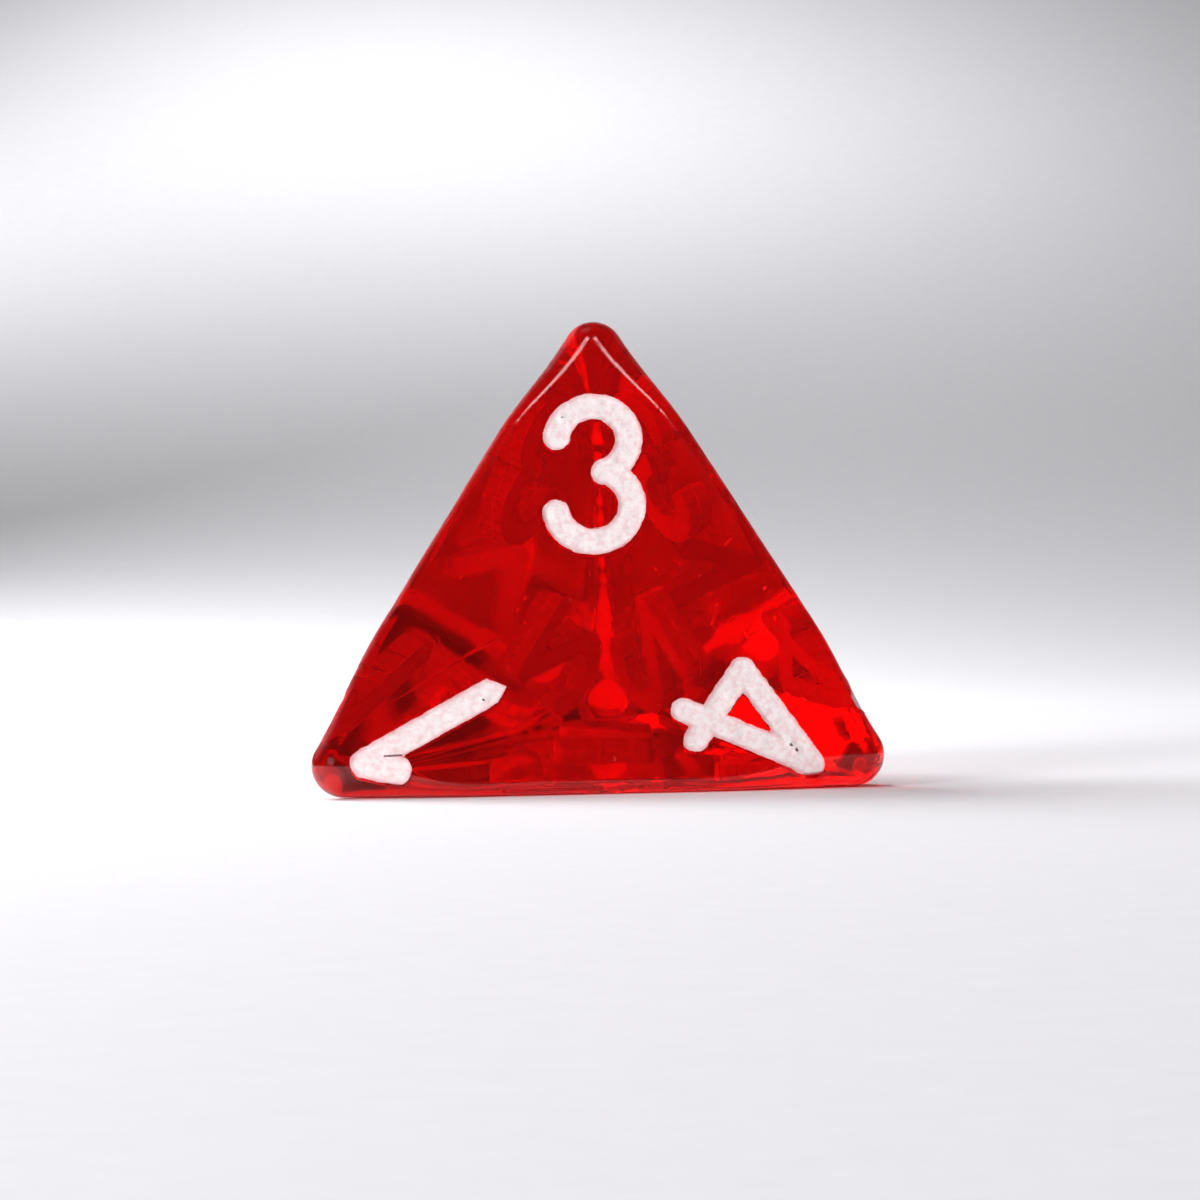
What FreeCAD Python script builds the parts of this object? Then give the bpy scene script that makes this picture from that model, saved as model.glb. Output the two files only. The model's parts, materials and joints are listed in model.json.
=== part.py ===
import FreeCAD, Part
import math
import os

# Four-sided gaming die: a regular tetrahedron with tumbled, rounded edges and
# corners, standing on one face, with twelve engraved numerals (three on each
# face) and a separate paint fill in every numeral.
#
# Frame: millimetres, +Z up, origin at the centre of the face it rests on,
# front face towards -Y, one bottom edge parallel to X.

os.makedirs("parts", exist_ok=True)

V = FreeCAD.Vector
doc = FreeCAD.newDocument("four_sided_die")

# ------------------------------------------------------------------ sizes
SIZES = [
    # the blank
    ("edge_sharp", 20.0, "edge of the sharp tetrahedron, before rounding"),
    ("corner_round", 1.4, "radius law where it runs out at a sharp corner"),
    ("edge_round_side", 0.5, "radius along the three rising edges"),
    ("edge_round_base", 0.36, "radius along the three bottom edges"),
    ("round_run", 0.25, "part of an edge over which corner radius fades"),
    # engraving
    ("pocket_depth", 0.42, "depth of the numerals below the face"),
    ("ink_recess", 0.05, "paint surface below the face"),
    ("ink_depth", 0.37, "thickness of the paint fill"),
    ("stroke_one", 0.82, "stroke width of the 1"),
    ("stroke_two", 0.80, "stroke width of the 2"),
    ("stroke_three", 0.81, "stroke width of the 3"),
    ("stroke_four", 0.74, "stroke width of the 4"),
    # numeral centre lines. x: to the numeral's right, y: from the centre of
    # the face towards the corner that the numeral belongs to
    ("one_foot_x", -0.600, ""), ("one_foot_y", 3.924, ""),
    ("one_head_x", -0.552, ""), ("one_head_y", 8.305, ""),
    ("one_flag_x", -1.267, ""), ("one_flag_y", 7.552, ""),
    ("two_bowl_x", 0.000, ""), ("two_bowl_y", 6.952, ""),
    ("two_bowl_rad", 1.067, ""),
    ("two_bowl_from", -38.0, "degrees"), ("two_bowl_to", 168.0, "degrees"),
    ("two_foot_left", -1.162, ""), ("two_foot_right", 1.162, ""),
    ("two_foot_y", 3.905, ""),
    ("three_top_x", 0.010, ""), ("three_top_y", 5.533, ""),
    ("three_top_rad", 1.111, ""),
    ("three_top_from", -71.5, "degrees"), ("three_top_to", 174.0, "degrees"),
    ("three_low_x", 0.029, ""), ("three_low_y", 3.381, ""),
    ("three_low_rad", 1.168, ""),
    ("three_low_from", -170.0, "degrees"), ("three_low_to", 73.0, "degrees"),
    ("four_stem_foot_x", 1.467, ""), ("four_stem_foot_y", 3.914, ""),
    ("four_apex_x", 1.086, ""), ("four_apex_y", 8.048, ""),
    ("four_elbow_x", -0.500, ""), ("four_elbow_y", 4.819, ""),
    ("four_bar_end_x", 2.095, ""), ("four_bar_end_y", 4.686, ""),
]

sheet = doc.addObject("Spreadsheet::Sheet", "sizes")
sheet.Label = "sizes"
for row, (alias, value, note) in enumerate(SIZES, start=1):
    sheet.set("A%d" % row, alias)
    sheet.set("B%d" % row, repr(float(value)))
    sheet.setAlias("B%d" % row, alias)
    if note:
        sheet.set("C%d" % row, note)
doc.recompute()


def size(alias):
    return float(sheet.get(alias))


# ------------------------------------------------------------------ blank
edge = size("edge_sharp")
height = edge * math.sqrt(2.0 / 3.0)
corners = {
    "left": V(-edge / 2, -edge * math.sqrt(3) / 6, 0),
    "right": V(edge / 2, -edge * math.sqrt(3) / 6, 0),
    "rear": V(0, edge * math.sqrt(3) / 3, 0),
    "top": V(0, 0, height),
}
# corner names of each face, anticlockwise seen from outside
faces = {
    "bottom": ("left", "rear", "right"),
    "front": ("left", "right", "top"),
    "east": ("right", "rear", "top"),
    "west": ("rear", "left", "top"),
}


def sharp_blank():
    # Each edge is split twice, so that a rounding radius can be held along
    # its middle and grow towards both corners. All three pieces of an edge
    # run the same way, and the two faces beside it share them.
    run = size("round_run")
    shared = {}
    order = list(corners)
    for i, one in enumerate(order):
        for two in order[i + 1:]:
            p, q = corners[one], corners[two]
            stops = [p, p + (q - p) * run, p + (q - p) * (1 - run), q]
            shared[frozenset((one, two))] = [
                Part.makeLine(stops[k], stops[k + 1]) for k in range(3)]
    made = []
    for names in faces.values():
        loop = []
        for i in range(3):
            one, two = names[i], names[(i + 1) % 3]
            three = shared[frozenset((one, two))]
            forward = order.index(one) < order.index(two)
            loop += three if forward else three[::-1]
        made.append(Part.Face(Part.Wire(loop)))
    solid = Part.Solid(Part.Shell(made))
    if solid.Volume < 0:
        solid.reverse()
    return solid


blank = doc.addObject("Part::Feature", "sharp_blank")
blank.Label = "sharp_blank"
blank.Shape = sharp_blank()
blank.Placement = FreeCAD.Placement()


def radius_at(point, base_edge):
    for c in corners.values():
        if (point - c).Length < 1e-6:
            return size("corner_round")
    return size("edge_round_base") if base_edge else size("edge_round_side")


radii = []
for i, e in enumerate(blank.Shape.Edges, start=1):
    p0 = e.valueAt(e.FirstParameter)
    p1 = e.valueAt(e.LastParameter)
    low = abs(p0.z) < 1e-6 and abs(p1.z) < 1e-6
    radii.append((i, radius_at(p0, low), radius_at(p1, low)))
tumbled = doc.addObject("Part::Fillet", "tumbled_blank")
tumbled.Label = "tumbled_blank"
tumbled.Base = blank
tumbled.Edges = radii
doc.recompute()

# --------------------------------------------------------------- numerals


def straight(p, q, width):
    # a stroke with round ends
    p, q = V(p[0], p[1], 0), V(q[0], q[1], 0)
    along = (q - p).normalize()
    side = V(-along.y, along.x, 0) * (width / 2)
    tip_p, tip_q = p - along * (width / 2), q + along * (width / 2)
    return Part.Face(Part.Wire([
        Part.LineSegment(p - side, q - side).toShape(),
        Part.Arc(q - side, tip_q, q + side).toShape(),
        Part.LineSegment(q + side, p + side).toShape(),
        Part.Arc(p + side, tip_p, p - side).toShape()]))


def bend(cx, cy, rad, start, end, width):
    # a curved stroke with round ends, anticlockwise from start to end degrees
    a0, a1 = math.radians(start), math.radians(end)
    am = (a0 + a1) / 2

    def at(r, a):
        return V(cx + r * math.cos(a), cy + r * math.sin(a), 0)

    ro, ri, hw = rad + width / 2, rad - width / 2, width / 2
    end_tip = at(rad, a1) + V(-math.sin(a1), math.cos(a1), 0) * hw
    start_tip = at(rad, a0) - V(-math.sin(a0), math.cos(a0), 0) * hw
    return Part.Face(Part.Wire([
        Part.Arc(at(ro, a0), at(ro, am), at(ro, a1)).toShape(),
        Part.Arc(at(ro, a1), end_tip, at(ri, a1)).toShape(),
        Part.Arc(at(ri, a1), at(ri, am), at(ri, a0)).toShape(),
        Part.Arc(at(ri, a0), start_tip, at(ro, a0)).toShape()]))


def joined(strokes):
    out = strokes[0].fuse(strokes[1:]).removeSplitter()
    if len(out.Faces) != 1:
        raise RuntimeError("numeral outline has %d faces" % len(out.Faces))
    return out.Faces[0]


def outline_one():
    w = size("stroke_one")
    head = (size("one_head_x"), size("one_head_y"))
    return joined([
        straight((size("one_foot_x"), size("one_foot_y")), head, w),
        straight(head, (size("one_flag_x"), size("one_flag_y")), w)])


def outline_two():
    w = size("stroke_two")
    cx, cy = size("two_bowl_x"), size("two_bowl_y")
    rad, a0 = size("two_bowl_rad"), math.radians(size("two_bowl_from"))
    turn = (cx + rad * math.cos(a0), cy + rad * math.sin(a0))
    foot = (size("two_foot_left"), size("two_foot_y"))
    return joined([
        bend(cx, cy, rad, size("two_bowl_from"), size("two_bowl_to"), w),
        straight(turn, foot, w),
        straight(foot, (size("two_foot_right"), size("two_foot_y")), w)])


def outline_three():
    w = size("stroke_three")
    return joined([
        bend(size("three_top_x"), size("three_top_y"), size("three_top_rad"),
             size("three_top_from"), size("three_top_to"), w),
        bend(size("three_low_x"), size("three_low_y"), size("three_low_rad"),
             size("three_low_from"), size("three_low_to"), w)])


def outline_four():
    w = size("stroke_four")
    top = (size("four_apex_x"), size("four_apex_y"))
    elbow = (size("four_elbow_x"), size("four_elbow_y"))
    return joined([
        straight((size("four_stem_foot_x"), size("four_stem_foot_y")), top, w),
        straight(top, elbow, w),
        straight(elbow, (size("four_bar_end_x"), size("four_bar_end_y")), w)])


numeral_of_corner = {"left": 1, "rear": 2, "top": 3, "right": 4}
outline = {1: outline_one(), 2: outline_two(), 3: outline_three(),
           4: outline_four()}


def seat(face_name, corner_name, below):
    # The placement that lays a numeral on a face: its y axis towards the
    # corner, its z axis out of the face, sunk by "below".
    names = faces[face_name]
    a, b, c = (corners[n] for n in names)
    out = (b - a).cross(c - a).normalize()
    centre = (a + b + c) / 3.0
    up = (corners[corner_name] - centre).normalize()
    right = up.cross(out)
    spin = FreeCAD.Rotation(right, up, out, "ZXY")
    return FreeCAD.Placement(centre - out * below, spin), out


inks = []
cutters = []
for face_name in ("front", "west", "east", "bottom"):
    for corner_name in faces[face_name]:
        number = numeral_of_corner[corner_name]
        key = "%s_%d" % (face_name, number)
        # paint fill: from the pocket floor up to just below the face
        place, out = seat(face_name, corner_name, size("ink_recess"))
        shape_ink = doc.addObject("Part::Feature", "outline_ink_" + key)
        shape_ink.Shape = outline[number]
        shape_ink.Placement = place
        ink = doc.addObject("Part::Extrusion", "ink_" + key)
        ink.Label = "ink_" + key
        ink.Base = shape_ink
        ink.DirMode = "Custom"
        ink.Dir = -out
        ink.Solid = True
        ink.setExpression("LengthFwd", "sizes.ink_depth")
        inks.append(ink)
        # cutter: from above the face down to the pocket floor
        cut = doc.addObject("Part::Extrusion", "cutter_" + key)
        cut.Label = "cutter_" + key
        cut.Base = shape_ink
        cut.DirMode = "Custom"
        cut.Dir = -out
        cut.Solid = True
        cut.setExpression("LengthFwd", "sizes.ink_depth")
        cut.setExpression("LengthRev", "sizes.ink_recess + 0.5")
        cutters.append(cut)
doc.recompute()

engraving = doc.addObject("Part::MultiFuse", "engraving")
engraving.Label = "engraving"
engraving.Shapes = cutters
body = doc.addObject("Part::Cut", "die_body")
body.Label = "die_body"
body.Base = tumbled
body.Tool = engraving
doc.recompute()

# ------------------------------------------------------------ checks, output
for obj in doc.Objects:
    for word in ("Invalid", "Error"):
        if word in obj.State:
            raise RuntimeError("%s is %s" % (obj.Name, obj.State))

nodes = [body] + inks
for obj in nodes:
    s = obj.Shape
    if s.isNull() or not s.isValid() or len(s.Solids) != 1:
        raise RuntimeError("bad shape in " + obj.Label)
print("blank volume", round(tumbled.Shape.Volume, 3),
      "body volume", round(body.Shape.Volume, 3),
      "paint volume", round(sum(k.Shape.Volume for k in inks), 3))
box = body.Shape.BoundBox
print("body box", [round(v, 3) for v in (box.XMin, box.YMin, box.ZMin,
                                         box.XMax, box.YMax, box.ZMax)])
for ink in inks:
    lap = ink.Shape.common(body.Shape).Volume
    if lap > 1e-6:
        raise RuntimeError("%s overlaps the body by %g" % (ink.Label, lap))
    proud = ink.Shape.cut(tumbled.Shape).Volume
    print(ink.Label, "paint outside the tumbled surface, mm3:", round(proud, 5))
for obj in nodes:
    obj.Shape.exportStep(os.path.join("parts", obj.Label + ".step"))
print("wrote", len(nodes), "nodes")
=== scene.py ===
import json
import math
import bpy
import bmesh
import numpy as np
from mathutils import Vector, Matrix, noise


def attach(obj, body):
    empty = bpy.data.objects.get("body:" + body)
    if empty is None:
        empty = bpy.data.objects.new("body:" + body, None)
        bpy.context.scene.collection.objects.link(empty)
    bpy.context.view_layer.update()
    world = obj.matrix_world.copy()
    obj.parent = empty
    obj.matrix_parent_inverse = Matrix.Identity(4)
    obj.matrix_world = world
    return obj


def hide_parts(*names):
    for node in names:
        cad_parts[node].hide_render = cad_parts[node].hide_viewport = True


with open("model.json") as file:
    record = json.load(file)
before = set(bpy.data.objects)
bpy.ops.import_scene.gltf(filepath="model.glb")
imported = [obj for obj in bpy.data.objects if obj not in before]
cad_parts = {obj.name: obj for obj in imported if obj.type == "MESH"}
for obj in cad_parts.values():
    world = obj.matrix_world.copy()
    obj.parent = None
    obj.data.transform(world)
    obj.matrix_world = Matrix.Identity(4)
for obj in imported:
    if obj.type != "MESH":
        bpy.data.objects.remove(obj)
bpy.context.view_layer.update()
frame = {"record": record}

MM = 0.001

# ---------------------------------------------------------------- the blank
# Sizes in millimetres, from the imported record's rest faces: the centre of a
# side face is a third of the sharp tetrahedron's height above the table.
mounts = {m["name"]: m for m in frame["record"]["mounts"]}
HEIGHT = 3.0 * mounts["front_rest_face"]["pos_m"][2] / MM
EDGE = HEIGHT / math.sqrt(2.0 / 3.0)
BALL = 0.95          # radius at the corners
ROUND_SIDE = 0.50    # along the rising edges
ROUND_BASE = 0.36    # along the bottom edges
FADE_END = 6.4       # distance from a sharp corner where the edge radius holds

CORNERS = {
    "left": Vector((-EDGE / 2, -EDGE * math.sqrt(3) / 6, 0)),
    "right": Vector((EDGE / 2, -EDGE * math.sqrt(3) / 6, 0)),
    "rear": Vector((0, EDGE * math.sqrt(3) / 3, 0)),
    "top": Vector((0, 0, HEIGHT)),
}
CENTRE = Vector((0, 0, HEIGHT / 4))
FACES = {
    "bottom": ("left", "rear", "right"),
    "front": ("left", "right", "top"),
    "east": ("right", "rear", "top"),
    "west": ("rear", "left", "top"),
}


def face_frame(face):
    a, b, c = (CORNERS[n] for n in FACES[face])
    out = (b - a).cross(c - a).normalized()
    return (a + b + c) / 3.0, out


NORMAL = {f: face_frame(f)[1] for f in FACES}


def slerp(a, b, t):
    ang = a.angle(b)
    if ang < 1e-9:
        return a.copy()
    return (a * math.sin((1 - t) * ang) + b * math.sin(t * ang)) / math.sin(ang)


ARC = 18             # steps round a rounded edge
ALONG = 132          # steps along a rounded edge
T0 = BALL * math.sqrt(6)          # where the corner ball's centre sits


def tumble(p, n, amount):
    # Worn edges are never quite true: a slow wander plus a few shallow nicks.
    w = noise.noise(p * 0.55 + Vector((3.1, 7.7, 1.3))) * 0.016
    w += noise.noise(p * 1.9 + Vector((9.2, 2.4, 5.5))) * 0.007
    for q, r, d in NICKS:
        k = (p - q).length / r
        if k < 1.0:
            w -= d * (1 - k * k) ** 2
    return p + n * (w - 0.010) * amount


def edge_line(one, two):
    # centre line of the rounding and its radius, from corner "one"
    p, q = CORNERS[one], CORNERS[two]
    along = (q - p).normalized()
    inward = (CENTRE - (p + q) / 2).normalized()
    low = abs(p.z) < 1e-6 and abs(q.z) < 1e-6
    hold = ROUND_BASE if low else ROUND_SIDE

    def at(t):
        near = min(t, EDGE - t)
        k = min(max((FADE_END - near) / (FADE_END - T0), 0.0), 1.0)
        r = hold + (BALL - hold) * k * k * (3 - 2 * k)
        return p + along * t + inward * (math.sqrt(3) * r), r
    return at


rng = np.random.default_rng(41)
NICKS = []
names = list(CORNERS)
for i in range(4):
    for j in range(i + 1, 4):
        at = edge_line(names[i], names[j])
        for _ in range(5):
            t = float(rng.uniform(1.8, EDGE - 1.8))
            c, r = at(t)
            outw = (c - CENTRE).normalized()
            NICKS.append((c + outw * r, float(rng.uniform(0.16, 0.42)),
                          float(rng.uniform(0.008, 0.028))))


def blank_mesh():
    bm = bmesh.new()
    rims = {}

    def grid(rows):
        vs = [[bm.verts.new(p) for p in row] for row in rows]
        return vs

    for i in range(4):
        for j in range(i + 1, 4):
            one, two = names[i], names[j]
            sides = [f for f in FACES if one in FACES[f] and two in FACES[f]]
            n1, n2 = NORMAL[sides[0]], NORMAL[sides[1]]
            at = edge_line(one, two)
            rows = []
            for s in range(ALONG + 1):
                t = T0 + (EDGE - 2 * T0) * s / ALONG
                c, r = at(t)
                row = []
                for k in range(ARC + 1):
                    n = slerp(n1, n2, k / ARC).normalized()
                    row.append(tumble(c + n * r, n, math.sin(math.pi * k / ARC)))
                rows.append(row)
            vs = grid(rows)
            for s in range(ALONG):
                for k in range(ARC):
                    bm.faces.new((vs[s][k], vs[s + 1][k], vs[s + 1][k + 1], vs[s][k + 1]))
    for name in names:
        fs = [f for f in FACES if name in FACES[f]]
        n1, n2, n3 = (NORMAL[f] for f in fs)
        v = CORNERS[name]
        c = v + (CENTRE - v).normalized() * 3 * BALL
        rows = []
        for i in range(ARC + 1):
            a, b = slerp(n1, n2, i / ARC), slerp(n1, n3, i / ARC)
            row = []
            for j in range(i + 1):
                n = slerp(a, b, j / i if i else 0).normalized()
                # fades out only where the ball meets a flat face
                u = min(n.angle(n1), n.angle(n2), n.angle(n3)) / 0.9
                row.append((n, u))
            rows.append(row)
        vs = []
        for i, row in enumerate(rows):
            out = []
            for j, (n, u) in enumerate(row):
                if i == 0:
                    w = 0.0
                elif j == 0 or j == i:
                    w = math.sin(math.pi * i / ARC)
                elif i == ARC:
                    w = math.sin(math.pi * j / ARC)
                else:
                    w = min(1.0, u)
                out.append(bm.verts.new(tumble(c + n * BALL, n, w)))
            vs.append(out)
        for i in range(ARC):
            for j in range(i + 1):
                bm.faces.new((vs[i][j], vs[i + 1][j], vs[i + 1][j + 1]))
                if j < i:
                    bm.faces.new((vs[i][j], vs[i + 1][j + 1], vs[i][j + 1]))
    bmesh.ops.remove_doubles(bm, verts=bm.verts, dist=2e-4)
    # the flat faces close the open rims
    rim_edges = [e for e in bm.edges if len(e.link_faces) == 1]
    left = set(rim_edges)
    while left:
        e = left.pop()
        loop = [e.verts[0], e.verts[1]]
        while loop[-1] is not loop[0]:
            nxt = next((x for x in loop[-1].link_edges if x in left), None)
            if nxt is None:
                break
            left.discard(nxt)
            loop.append(nxt.other_vert(loop[-1]))
        if loop[-1] is loop[0]:
            loop.pop()
        bm.faces.new(loop)
    bmesh.ops.recalc_face_normals(bm, faces=bm.faces)
    me = bpy.data.meshes.new("die_blank")
    bm.to_mesh(me)
    bm.free()
    return me


# ---------------------------------------------------------------- numerals
POCKET, RECESS = 0.42, 0.035
STROKE = {1: 0.82, 2: 0.80, 3: 0.81, 4: 0.74}
STROKES = {
    1: [("line", (-0.590, 4.750), (-0.552, 8.305)),
        ("line", (-0.552, 8.305), (-1.267, 7.552))],
    2: [("arc", (0.0, 6.952), 1.067, -38.0, 168.0),
        ("line", (0.8408, 6.2951), (-1.162, 3.905)),
        ("line", (-1.162, 3.905), (1.162, 3.905))],
    3: [("arc", (0.010, 5.533), 1.111, -71.5, 174.0),
        ("arc", (0.029, 3.381), 1.168, -170.0, 73.0)],
    4: [("line", (1.467, 3.914), (1.086, 8.048)),
        ("line", (1.086, 8.048), (-0.500, 4.819)),
        ("line", (-0.500, 4.819), (2.095, 4.686))],
}
NUMBER_OF = {"left": 1, "rear": 2, "top": 3, "right": 4}


def stroke_distance(x, y, number):
    best = np.full(x.shape, 1e9)
    for st in STROKES[number]:
        if st[0] == "line":
            (ax, ay), (bx, by) = st[1], st[2]
            dx, dy = bx - ax, by - ay
            t = np.clip(((x - ax) * dx + (y - ay) * dy) / (dx * dx + dy * dy), 0, 1)
            d = np.hypot(x - ax - t * dx, y - ay - t * dy)
        else:
            (cx, cy), r, a0, a1 = st[1:]
            a0, a1 = math.radians(a0), math.radians(a1)
            ang = np.arctan2(y - cy, x - cx)
            mid = (a0 + a1) / 2
            off = (ang - mid + math.pi) % (2 * math.pi) - math.pi
            inside = np.abs(off) <= (a1 - a0) / 2
            d = np.abs(np.hypot(x - cx, y - cy) - r)
            e0 = np.hypot(x - cx - r * math.cos(a0), y - cy - r * math.sin(a0))
            e1 = np.hypot(x - cx - r * math.cos(a1), y - cy - r * math.sin(a1))
            d = np.where(inside, d, np.minimum(e0, e1))
        best = np.minimum(best, d)
    best = best - STROKE[number] / 2
    if number == 1:       # the foot of the 1 is cut to a chisel tip
        foot = np.maximum.reduce([
            np.abs(x + 0.596) - STROKE[1] / 2,
            (x + 0.199) * 0.572 - (y - 3.847) * 0.820,
            -(x + 0.716) * 0.853 - (y - 3.486) * 0.522, y - 5.0])
        best = np.minimum(best, foot)
    return best


# Faults in the paint of the front face: bare spots and a crack.
FAULTS = {
    ("front", 1): [((-0.94, 7.22), (-0.70, 7.67), 0.034), ((-0.72, 4.25), (-0.70, 4.29), 0.034)],
    ("front", 4): [((0.87, 7.22), (0.89, 7.26), 0.042), ((0.92, 7.45), (0.94, 7.48), 0.048)],
    ("front", 3): [((-0.93, 6.30), (-0.90, 6.33), 0.026)],
}


def fault_distance(x, y, key):
    best = np.full(x.shape, 1e9)
    for (ax, ay), (bx, by), r in FAULTS.get(key, ()):
        dx, dy = bx - ax, by - ay
        t = np.clip(((x - ax) * dx + (y - ay) * dy) / (dx * dx + dy * dy), 0, 1)
        best = np.minimum(best, np.hypot(x - ax - t * dx, y - ay - t * dy) - r)
    return best


def waves(seed, size, terms=26):
    # a smooth random field, made of plane waves of about the given length
    g = np.random.default_rng(seed)
    k = 2 * math.pi / (size * g.uniform(0.6, 1.7, terms))
    a = g.uniform(0, 2 * math.pi, terms)
    ph = g.uniform(0, 2 * math.pi, terms)

    def f(x, y):
        s = np.zeros_like(x)
        for ki, ai, pi in zip(k, a, ph):
            s += np.sin(ki * (x * math.cos(ai) + y * math.sin(ai)) + pi)
        return s / math.sqrt(terms / 2)
    return f


def contour_prism(number, field, step, top, bottom):
    # Closed prism over the area where field < 0: marching squares for the
    # outline, a grid inside it, top height from top(x, y, d).
    pts = []
    for st in STROKES[number]:
        if st[0] == "line":
            pts += [st[1], st[2]]
        else:
            (cx, cy), r = st[1], st[2]
            pts += [(cx - r, cy - r), (cx + r, cy + r)]
    if number == 1:
        pts.append((-0.600, 3.924))
    m = STROKE[number] / 2 + 0.2
    x0, x1 = min(p[0] for p in pts) - m, max(p[0] for p in pts) + m
    y0, y1 = min(p[1] for p in pts) - m, max(p[1] for p in pts) + m
    xs = np.arange(x0, x1 + step, step)
    ys = np.arange(y0, y1 + step, step)
    X, Y = np.meshgrid(xs, ys, indexing="ij")
    D = field(X, Y)
    D = np.where(np.abs(D) < step * 0.04, -step * 0.04, D)
    inside = D < 0
    coords, index, polys = [], {}, []

    def vertex(key, x, y):
        if key not in index:
            index[key] = len(coords)
            coords.append((x, y))
        return index[key]

    nx, ny = D.shape
    any_in = inside[:-1, :-1] | inside[1:, :-1] | inside[1:, 1:] | inside[:-1, 1:]
    for i, j in zip(*np.nonzero(any_in)):
        ring = ((i, j), (i + 1, j), (i + 1, j + 1), (i, j + 1))
        poly = []
        for k in range(4):
            a, b = ring[k], ring[(k + 1) % 4]
            if inside[a]:
                poly.append(vertex((a, a), X[a], Y[a]))
            if inside[a] != inside[b]:
                lo_, hi_ = min(a, b), max(a, b)
                t = D[lo_] / (D[lo_] - D[hi_])
                poly.append(vertex((lo_, hi_), X[lo_] + (X[hi_] - X[lo_]) * t,
                                   Y[lo_] + (Y[hi_] - Y[lo_]) * t))
        if len(poly) >= 3:
            polys.append(poly)
    P = np.array(coords)
    d = field(P[:, 0], P[:, 1])
    z = top(P[:, 0], P[:, 1], d)
    n = len(P)
    verts = [(p[0], p[1], h) for p, h in zip(P, z)]
    verts += [(p[0], p[1], bottom) for p in P]
    faces = [tuple(p) for p in polys]
    used = {}
    for p in polys:
        for k in range(len(p)):
            e = (p[k], p[(k + 1) % len(p)])
            used[e] = used.get(e, 0) + 1
    for a, b in used:
        if (b, a) not in used:
            faces.append((b, a, a + n, b + n))
    faces += [tuple(v + n for v in reversed(p)) for p in polys]
    return verts, faces


def seat(face, corner):
    centre, out = face_frame(face)
    up = (CORNERS[corner] - centre).normalized()
    right = up.cross(out)
    m = Matrix((right, up, out)).transposed().to_4x4()
    m.translation = centre
    return m


def mesh_from(name, verts, faces, matrix):
    me = bpy.data.meshes.new(name)
    me.from_pydata([matrix @ Vector(v) for v in verts], [], faces)
    bm = bmesh.new()
    bm.from_mesh(me)
    bmesh.ops.remove_doubles(bm, verts=bm.verts, dist=1e-5)
    bmesh.ops.recalc_face_normals(bm, faces=bm.faces)
    bm.to_mesh(me)
    bm.free()
    return me


def link(name, me):
    ob = bpy.data.objects.new(name, me)
    bpy.context.scene.collection.objects.link(ob)
    return ob


def apply_modifiers(ob):
    dg = bpy.context.evaluated_depsgraph_get()
    me = bpy.data.meshes.new_from_object(ob.evaluated_get(dg))
    old = ob.data
    ob.modifiers.clear()
    ob.data = me
    bpy.data.meshes.remove(old)


seats = [(f, c, NUMBER_OF[c]) for f in ("front", "west", "east", "bottom") for c in FACES[f]]

def edge_drop(face, corner):
    # How far the worn, rounded surface lies below the flat face at (x, y), and
    # how far inside the rounded outline (x, y) is.
    m = seat(face, corner)
    lines = []
    fs = FACES[face]
    for i in range(3):
        p, q = CORNERS[fs[i]], CORNERS[fs[(i + 1) % 3]]
        inv = m.inverted()
        a, b = inv @ p, inv @ q
        low = abs(p.z) < 1e-6 and abs(q.z) < 1e-6
        lines.append((a.x, a.y, b.x, b.y, ROUND_BASE if low else ROUND_SIDE))

    def drop(x, y):
        h = np.zeros_like(x)
        gap = np.full(x.shape, 1e9)
        for ax, ay, bx, by, hold in lines:
            L = math.hypot(bx - ax, by - ay)
            ux, uy = (bx - ax) / L, (by - ay) / L
            t = (x - ax) * ux + (y - ay) * uy
            e = np.abs((x - ax) * uy - (y - ay) * ux)
            near = np.minimum(t, EDGE - t)
            k = np.clip((FADE_END - near) / (FADE_END - T0), 0, 1)
            r = hold + (BALL - hold) * k * k * (3 - 2 * k)
            over = np.clip(math.sqrt(2) * r - e, 0, r * 0.95)
            h = np.maximum(h, r - np.sqrt(r * r - over * over))
            gap = np.minimum(gap, e - 0.72 * r)
        return h, gap
    return drop


# One cutter for all twelve pockets.
bm = bmesh.new()
for face, corner, number in seats:
    v, f = contour_prism(number, lambda x, y, n=number: stroke_distance(x, y, n),
                         0.055, lambda x, y, d: np.full(x.shape, 0.30), -POCKET)
    me = mesh_from("cut", v, f, seat(face, corner))
    bm.from_mesh(me)
    bpy.data.meshes.remove(me)
bmesh.ops.dissolve_limit(bm, angle_limit=0.002, verts=bm.verts, edges=bm.edges)

# Small gouges and handling scratches, mostly seen on the front face: place on
# the face (x, y), length, width, depth, turn.
GOUGES = {
    "front": [(4.088, 2.088, 0.36, 0.07, 0.030, 50), (3.220, 1.017, 0.14, 0.06, 0.024, 20),
              (-0.107, 1.170, 0.16, 0.05, 0.020, 110), (-0.719, 0.352, 0.10, 0.06, 0.020, 15),
              (5.172, 0.579, 0.13, 0.08, 0.030, 60), (6.221, -2.934, 0.20, 0.06, 0.028, -35),
              (0.555, -4.699, 0.18, 0.13, 0.040, 85), (-1.850, 5.289, 0.12, 0.05, 0.020, 40),
              (-5.900, -4.700, 0.15, 0.07, 0.026, 10), (1.920, -3.046, 0.10, 0.05, 0.020, 0),
              (-3.300, -1.100, 0.42, 0.03, 0.010, 25), (2.300, -1.500, 0.36, 0.03, 0.010, -60)],
}
for face, turn in (("west", 0.0), ("east", 2.0), ("bottom", 4.0)):
    g = np.random.default_rng(int(77 + turn))
    GOUGES[face] = []
    while len(GOUGES[face]) < 9:
        x, y = float(g.uniform(-6, 6)), float(g.uniform(-4.6, 6))
        if min(abs(math.hypot(x, y) - 0.0), 6.0) > 3.2:
            continue
        GOUGES[face].append((x, y, float(g.uniform(0.08, 0.4)), float(g.uniform(0.03, 0.07)),
                             float(g.uniform(0.010, 0.026)), float(g.uniform(0, 180))))
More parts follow.
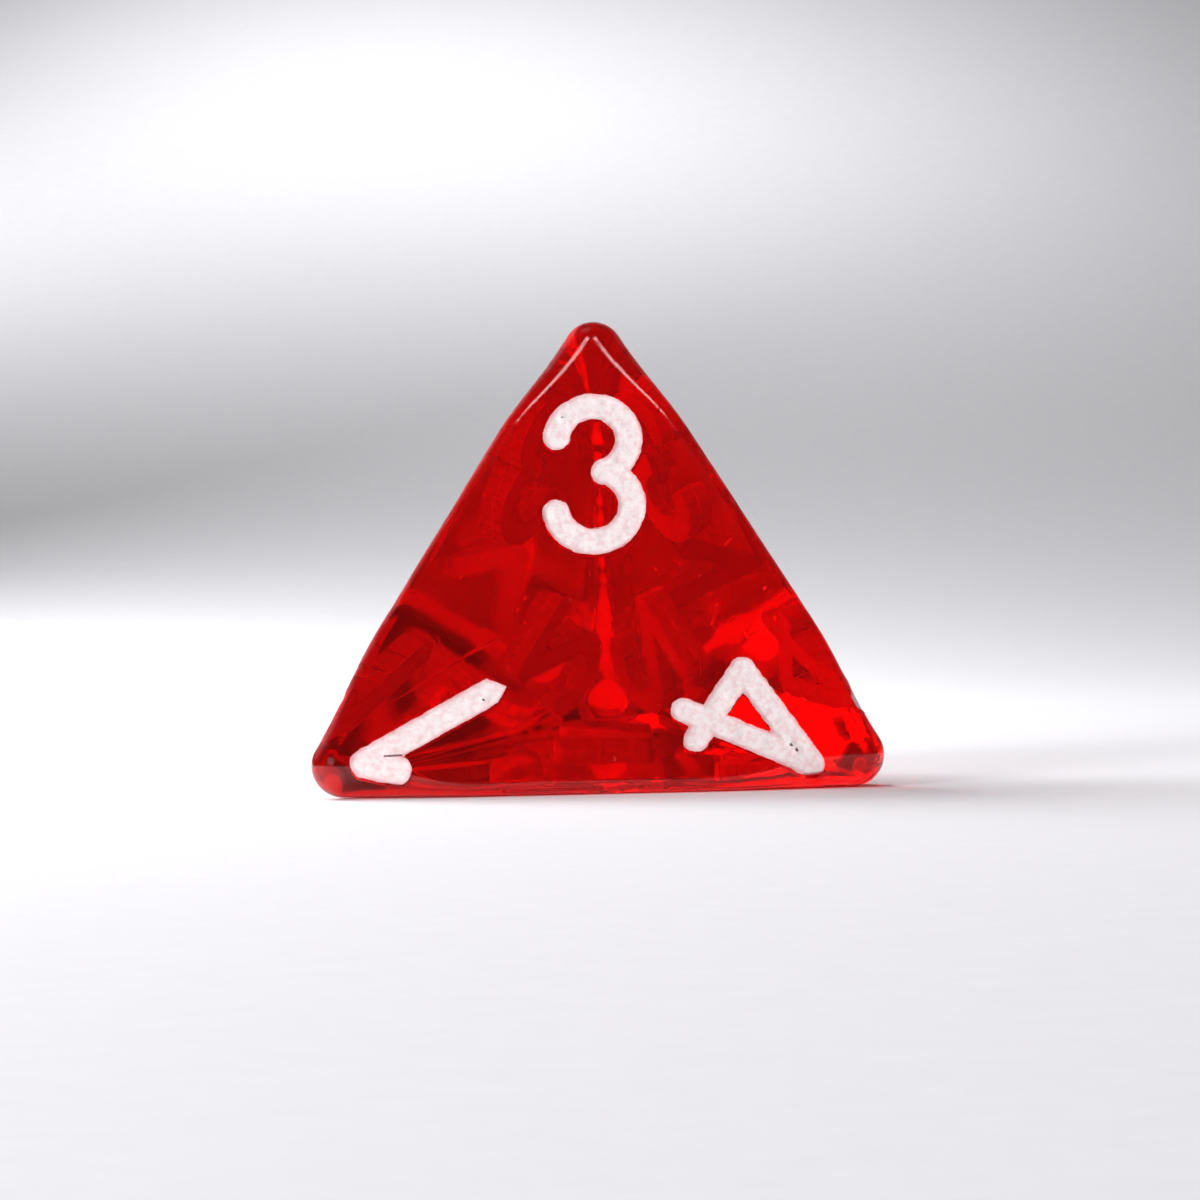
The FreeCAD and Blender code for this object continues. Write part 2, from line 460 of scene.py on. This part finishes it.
for face, marks in GOUGES.items():
    base = seat(face, FACES[face][2])
    for x, y, length, width, depth, turn in marks:
        one = bmesh.new()
        bmesh.ops.create_icosphere(one, subdivisions=2, radius=1.0)
        bmesh.ops.transform(one, verts=one.verts, matrix=base @ Matrix.Translation((x, y, 0.0))
                            @ Matrix.Rotation(math.radians(turn), 4, "Z")
                            @ Matrix.Diagonal((length / 2, width / 2, depth, 1)))
        me = bpy.data.meshes.new("gouge")
        one.to_mesh(me)
        one.free()
        bm.from_mesh(me)
        bpy.data.meshes.remove(me)
cut_me = bpy.data.meshes.new("pockets")
bm.to_mesh(cut_me)
bm.free()
cutter = link("pockets", cut_me)

die = link("die_shell", blank_mesh())
mod = die.modifiers.new("engrave", "BOOLEAN")
mod.operation = "DIFFERENCE"
mod.solver = "EXACT"
mod.object = cutter
bpy.context.view_layer.update()
apply_modifiers(die)
bpy.data.objects.remove(cutter)
bpy.data.meshes.remove(cut_me)
die.data.name = "die_shell"
die.data.transform(Matrix.Scale(MM, 4))
for p in die.data.polygons:
    p.use_smooth = True
die.data.set_sharp_from_angle(angle=math.radians(32))
wn = die.modifiers.new("face_weighted_normals", "WEIGHTED_NORMAL")
wn.mode = "FACE_AREA"
wn.weight = 100
wn.keep_sharp = True


# Paint fills: ragged outline, sunken uneven surface.
paints = []
for k, (face, corner, number) in enumerate(seats):
    edge_noise = waves(500 + k, 0.34)
    fine_noise = waves(700 + k, 0.10)
    lump = waves(900 + k, 0.55)

    drop = edge_drop(face, corner)

    def field(x, y, n=number, e=edge_noise, g=fine_noise, spot=(face, number), dr=drop):
        # the paint reaches a hair past the pocket's wall all round
        d = stroke_distance(x, y, n) - 0.016 + 0.008 * e(x, y) + 0.006 * g(x, y)
        d = np.maximum(d, -dr(x, y)[1])
        return np.maximum(d, -fault_distance(x, y, spot) + 0.006 * g(x, y))

    def top(x, y, d, e=lump, g=fine_noise, dr=drop):
        inner = np.clip(-d / 0.14, 0, 1)
        inner = inner * inner * (3 - 2 * inner)
        h = 0.004 - (RECESS + 0.004) * inner + 0.007 * inner * e(x, y) + 0.0025 * inner * g(x, y)
        return h - dr(x, y)[0]

    v, f = contour_prism(number, field, 0.042, top, -POCKET - 0.006)
    me = mesh_from("ink_%s_%d_paint" % (face, number), v, f, seat(face, corner))
    back_to = seat(face, corner).inverted()
    local = np.array([tuple(back_to @ p.co) for p in me.vertices])
    depth_in = -np.minimum(stroke_distance(local[:, 0], local[:, 1], number), 0.0)
    # painted shade: nearness to the pocket's wall, which drives the painted red shade at the paint's rim
    painted_rim_shade = me.attributes.new("painted_rim_shade", "FLOAT", "POINT")
    painted_rim_shade.data.foreach_set("value", np.clip(1.25 - depth_in / 0.09, 0.0, 1.25).astype(np.float32))
    me.transform(Matrix.Scale(MM, 4))
    ob = link("ink_%s_%d_paint" % (face, number), me)
    for p in me.polygons:
        p.use_smooth = True
    me.set_sharp_from_angle(angle=math.radians(40))
    paints.append((ob, "ink_%s_%d" % (face, number)))


# --------------------------------------------------------------- materials
def new_material(name):
    m = bpy.data.materials.new(name)
    m.use_nodes = True
    nt = m.node_tree
    for n in list(nt.nodes):
        nt.nodes.remove(n)
    out = nt.nodes.new("ShaderNodeOutputMaterial")
    return m, nt, out


def noise_node(nt, coord, scale, detail=2.0, rough=0.5, stretch=None, turn=None):
    src = coord
    if stretch or turn:
        mp = nt.nodes.new("ShaderNodeMapping")
        mp.inputs["Scale"].default_value = stretch or (1, 1, 1)
        mp.inputs["Rotation"].default_value = turn or (0, 0, 0)
        nt.links.new(coord, mp.inputs["Vector"])
        src = mp.outputs["Vector"]
    n = nt.nodes.new("ShaderNodeTexNoise")
    n.inputs["Scale"].default_value = scale
    n.inputs["Detail"].default_value = detail
    n.inputs["Roughness"].default_value = rough
    nt.links.new(src, n.inputs["Vector"])
    return n


def resin_material():
    m, nt, out = new_material("transparent_red_resin")
    p = nt.nodes.new("ShaderNodeBsdfPrincipled")
    nt.links.new(p.outputs["BSDF"], out.inputs["Surface"])
    p.inputs["Base Color"].default_value = (1.0, 0.0, 0.008, 1)
    p.inputs["Transmission Weight"].default_value = 0.96
    p.inputs["IOR"].default_value = 1.49
    ab = nt.nodes.new("ShaderNodeVolumeAbsorption")
    ab.inputs["Color"].default_value = (0.9960, 0.0, 0.10, 1)
    ab.inputs["Density"].default_value = 3000.0
    nt.links.new(ab.outputs["Volume"], out.inputs["Volume"])
    tc = nt.nodes.new("ShaderNodeTexCoord")
    co = tc.outputs["Object"]
    # slow waviness of a tumbled face, fine scratches on top
    slow = noise_node(nt, co, 420.0, 2.0, 0.4)
    b1 = nt.nodes.new("ShaderNodeBump")
    b1.inputs["Strength"].default_value = 0.25
    b1.inputs["Distance"].default_value = 0.00006
    nt.links.new(slow.outputs["Fac"], b1.inputs["Height"])
    last = b1
    for k, turn in enumerate(((0.3, 0.9, 0.2), (1.2, 0.1, 2.0), (0.7, 2.1, 1.1))):
        hair = noise_node(nt, co, 2600.0, 1.0, 0.5, stretch=(1.0, 0.035, 0.6), turn=turn)
        line = nt.nodes.new("ShaderNodeValToRGB")
        line.color_ramp.elements[0].position = 0.655
        line.color_ramp.elements[0].color = (0, 0, 0, 1)
        line.color_ramp.elements[1].position = 0.70
        line.color_ramp.elements[1].color = (1, 1, 1, 1)
        nt.links.new(hair.outputs["Fac"], line.inputs["Fac"])
        b = nt.nodes.new("ShaderNodeBump")
        b.invert = True
        b.inputs["Strength"].default_value = 0.22
        b.inputs["Distance"].default_value = 0.000004
        nt.links.new(line.outputs["Color"], b.inputs["Height"])
        nt.links.new(last.outputs["Normal"], b.inputs["Normal"])
        last = b
    nt.links.new(last.outputs["Normal"], p.inputs["Normal"])
    # handled gloss: patches a little duller than the rest
    dull = noise_node(nt, co, 260.0, 4.0, 0.6)
    rg = nt.nodes.new("ShaderNodeMapRange")
    rg.inputs["From Min"].default_value = 0.35
    rg.inputs["From Max"].default_value = 0.70
    rg.inputs["To Min"].default_value = 0.065
    rg.inputs["To Max"].default_value = 0.115
    nt.links.new(dull.outputs["Fac"], rg.inputs["Value"])
    nt.links.new(rg.outputs["Result"], p.inputs["Roughness"])
    return m


def paint_material():
    m, nt, out = new_material("white_numeral_paint")
    p = nt.nodes.new("ShaderNodeBsdfPrincipled")
    nt.links.new(p.outputs["BSDF"], out.inputs["Surface"])
    tc = nt.nodes.new("ShaderNodeTexCoord")
    co = tc.outputs["Object"]
    speck = noise_node(nt, co, 5600.0, 3.0, 0.6)
    ramp = nt.nodes.new("ShaderNodeValToRGB")
    ramp.color_ramp.elements[0].position = 0.34
    ramp.color_ramp.elements[0].color = (0.90, 0.66, 0.67, 1)
    ramp.color_ramp.elements[1].position = 0.56
    ramp.color_ramp.elements[1].color = (0.96, 0.86, 0.86, 1)
    nt.links.new(speck.outputs["Fac"], ramp.inputs["Fac"])
    # painted shade: the paint is turned a darker red-pink towards the pocket's rim, a painted stand-in
    # for the red light and shade that the resin walls throw onto the paint's edge; the amount is mottled
    painted_rim_shade = nt.nodes.new("ShaderNodeAttribute")
    painted_rim_shade.attribute_name = "painted_rim_shade"
    rim_shade_mottle = noise_node(nt, co, 2600.0, 2.0, 0.5)
    rim_shade_amount = nt.nodes.new("ShaderNodeMath")
    rim_shade_amount.operation = "MULTIPLY"
    nt.links.new(painted_rim_shade.outputs["Fac"], rim_shade_amount.inputs[0])
    nt.links.new(rim_shade_mottle.outputs["Fac"], rim_shade_amount.inputs[1])
    mix = nt.nodes.new("ShaderNodeMix")
    mix.data_type = "RGBA"
    nt.links.new(rim_shade_amount.outputs["Value"], mix.inputs[0])
    nt.links.new(ramp.outputs["Color"], mix.inputs[6])
    # the colour of the painted red shade at the paint's rim
    mix.inputs[7].default_value = (0.82, 0.26, 0.28, 1)
    nt.links.new(mix.outputs[2], p.inputs["Base Color"])
    p.inputs["Roughness"].default_value = 0.62
    b = nt.nodes.new("ShaderNodeBump")
    b.inputs["Strength"].default_value = 0.5
    b.inputs["Distance"].default_value = 0.00003
    nt.links.new(speck.outputs["Fac"], b.inputs["Height"])
    nt.links.new(b.outputs["Normal"], p.inputs["Normal"])
    return m


resin = resin_material()
die.data.materials.clear()
die.data.materials.append(resin)
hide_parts("die_body")
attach(die, "root")
paint = paint_material()
for ob, node in paints:
    ob.data.materials.append(paint)
    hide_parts(node)
    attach(ob, "root")


# ------------------------------------------------------------------- stage
PAPER = -0.00003     # the die stands on the paper's fibres, a hair above it


def sweep():
    # a sheet of pale paper: flat under the die, curving up behind it
    rows = []
    y_front, y_bend, r, top = -0.40, 0.10, 0.50, 0.75
    for y in np.linspace(y_front, y_bend, 12):
        rows.append((float(y), PAPER))
    for a in np.linspace(0, math.pi / 2, 33)[1:]:
        rows.append((y_bend + r * math.sin(a), PAPER + r - r * math.cos(a)))
    rows.append((y_bend + r, top))
    xs = np.linspace(-0.90, 0.90, 19)
    verts = [(float(x), y, z) for y, z in rows for x in xs]
    faces = []
    nx = len(xs)
    for i in range(len(rows) - 1):
        for j in range(nx - 1):
            a = i * nx + j
            faces.append((a, a + 1, a + nx + 1, a + nx))
    me = bpy.data.meshes.new("paper_sweep")
    me.from_pydata(verts, [], faces)
    for p in me.polygons:
        p.use_smooth = True
    ob = link("paper_sweep", me)
    m, nt, out = new_material("pale_paper")
    p = nt.nodes.new("ShaderNodeBsdfPrincipled")
    nt.links.new(p.outputs["BSDF"], out.inputs["Surface"])
    p.inputs["Roughness"].default_value = 0.8
    p.inputs["Specular IOR Level"].default_value = 0.2
    tc = nt.nodes.new("ShaderNodeTexCoord")
    n = noise_node(nt, tc.outputs["Object"], 900.0, 3.0, 0.6)
    ramp = nt.nodes.new("ShaderNodeValToRGB")
    ramp.color_ramp.elements[0].color = (0.83, 0.82, 0.86, 1)
    ramp.color_ramp.elements[1].color = (0.88, 0.87, 0.90, 1)
    nt.links.new(n.outputs["Fac"], ramp.inputs["Fac"])
    nt.links.new(ramp.outputs["Color"], p.inputs["Base Color"])
    me.materials.append(m)
    return ob


sweep()


def area(name, pos, aim, size, power, colour=(1, 1, 1), size_y=None):
    l = bpy.data.lights.new(name, "AREA")
    l.energy = power
    l.color = colour
    l.shape = "RECTANGLE"
    l.size = size
    l.size_y = size_y or size
    ob = bpy.data.objects.new(name, l)
    bpy.context.scene.collection.objects.link(ob)
    ob.location = pos
    ob.rotation_mode = "QUATERNION"
    ob.rotation_quaternion = (Vector(aim) - Vector(pos)).to_track_quat("-Z", "Y")
    return ob


def lamp(name, toward, dist, size, radiance, size_y=None, colour=(1, 1, 1), at=(0, 0, 0.006), along=None):
    # placed by direction from the die; power set for the given brightness
    d = Vector(toward).normalized()
    at = Vector(at)
    ob = area(name, at + d * dist, at, size, radiance * math.pi * size * (size_y or size),
              colour, size_y)
    if along is not None:      # turn the lamp so that its X side lies along this
        x = Vector(along)
        x = (x - d * x.dot(d)).normalized()
        y = d.cross(x)
        ob.rotation_quaternion = Matrix((x, y, d)).transposed().to_quaternion()
    return ob


back = lamp("back_left", (-0.60, 0.50, 0.40), 0.17, 0.106, 14.0)
back.visible_glossy = False
lamp("streak_left", (-0.240, -0.545, 0.803), 0.30, 0.030, 9.0, 0.075,
     at=(-0.0009, -0.0012, 0.0128), along=(0.5, 0.289, 0.816))
lamp("streak_right", (0.165, -0.561, 0.811), 0.30, 0.030, 9.0, 0.065,
     at=(0.0012, -0.0012, 0.0125), along=(-0.5, 0.289, 0.816))
key = lamp("key_left", (-0.62, -0.72, 0.25), 0.20, 0.081, 14.0)
key.visible_glossy = False
top = lamp("top_soft", (-0.26, 0.12, 0.96), 0.20, 0.0667, 6.0)
top.visible_glossy = False
area("wall_left", (-0.12, 0.290, 0.11), (0.0, 0.300, 0.05), 0.03, 0.060, size_y=0.12)
area("wall_top", (-0.02, 0.310, 0.14), (-0.01, 0.330, 0.06), 0.12, 0.080, size_y=0.03)

world = bpy.data.worlds.new("studio")
world.use_nodes = True
bg = world.node_tree.nodes["Background"]
bg.inputs["Color"].default_value = (1.0, 1.0, 1.0, 1)
bg.inputs["Strength"].default_value = 0.05
bpy.context.scene.world = world

# ------------------------------------------------------------------ camera
AZ, EL, ROLL, DIST = math.radians(2.381), math.radians(0.0), math.radians(-1.435), 6.0
TX, TZ, SCALE = 0.0016, 0.0835, 641.78
right = Vector((math.cos(AZ), math.sin(AZ), 0))
back = Vector((math.sin(AZ) * math.cos(EL), -math.cos(AZ) * math.cos(EL), math.sin(EL)))
up = back.cross(right)
target = CENTRE + right * TX * EDGE + up * TZ * EDGE
eye = (target + back * DIST * EDGE) * MM
r2 = right * math.cos(ROLL) + up * math.sin(ROLL)
u2 = up * math.cos(ROLL) - right * math.sin(ROLL)
cam_data = bpy.data.cameras.new("camera")
cam = bpy.data.objects.new("camera", cam_data)
bpy.context.scene.collection.objects.link(cam)
cam.matrix_world = Matrix(((r2.x, u2.x, back.x, eye.x), (r2.y, u2.y, back.y, eye.y),
                           (r2.z, u2.z, back.z, eye.z), (0, 0, 0, 1)))
cam_data.sensor_width = 36.0
cam_data.lens = SCALE * DIST / 1200.0 * 36.0
cam_data.clip_start, cam_data.clip_end = 0.002, 5.0
bpy.context.scene.camera = cam

view = bpy.context.scene.view_settings
view.view_transform = "Standard"
view.look = "None"

bpy.context.view_layer.update()
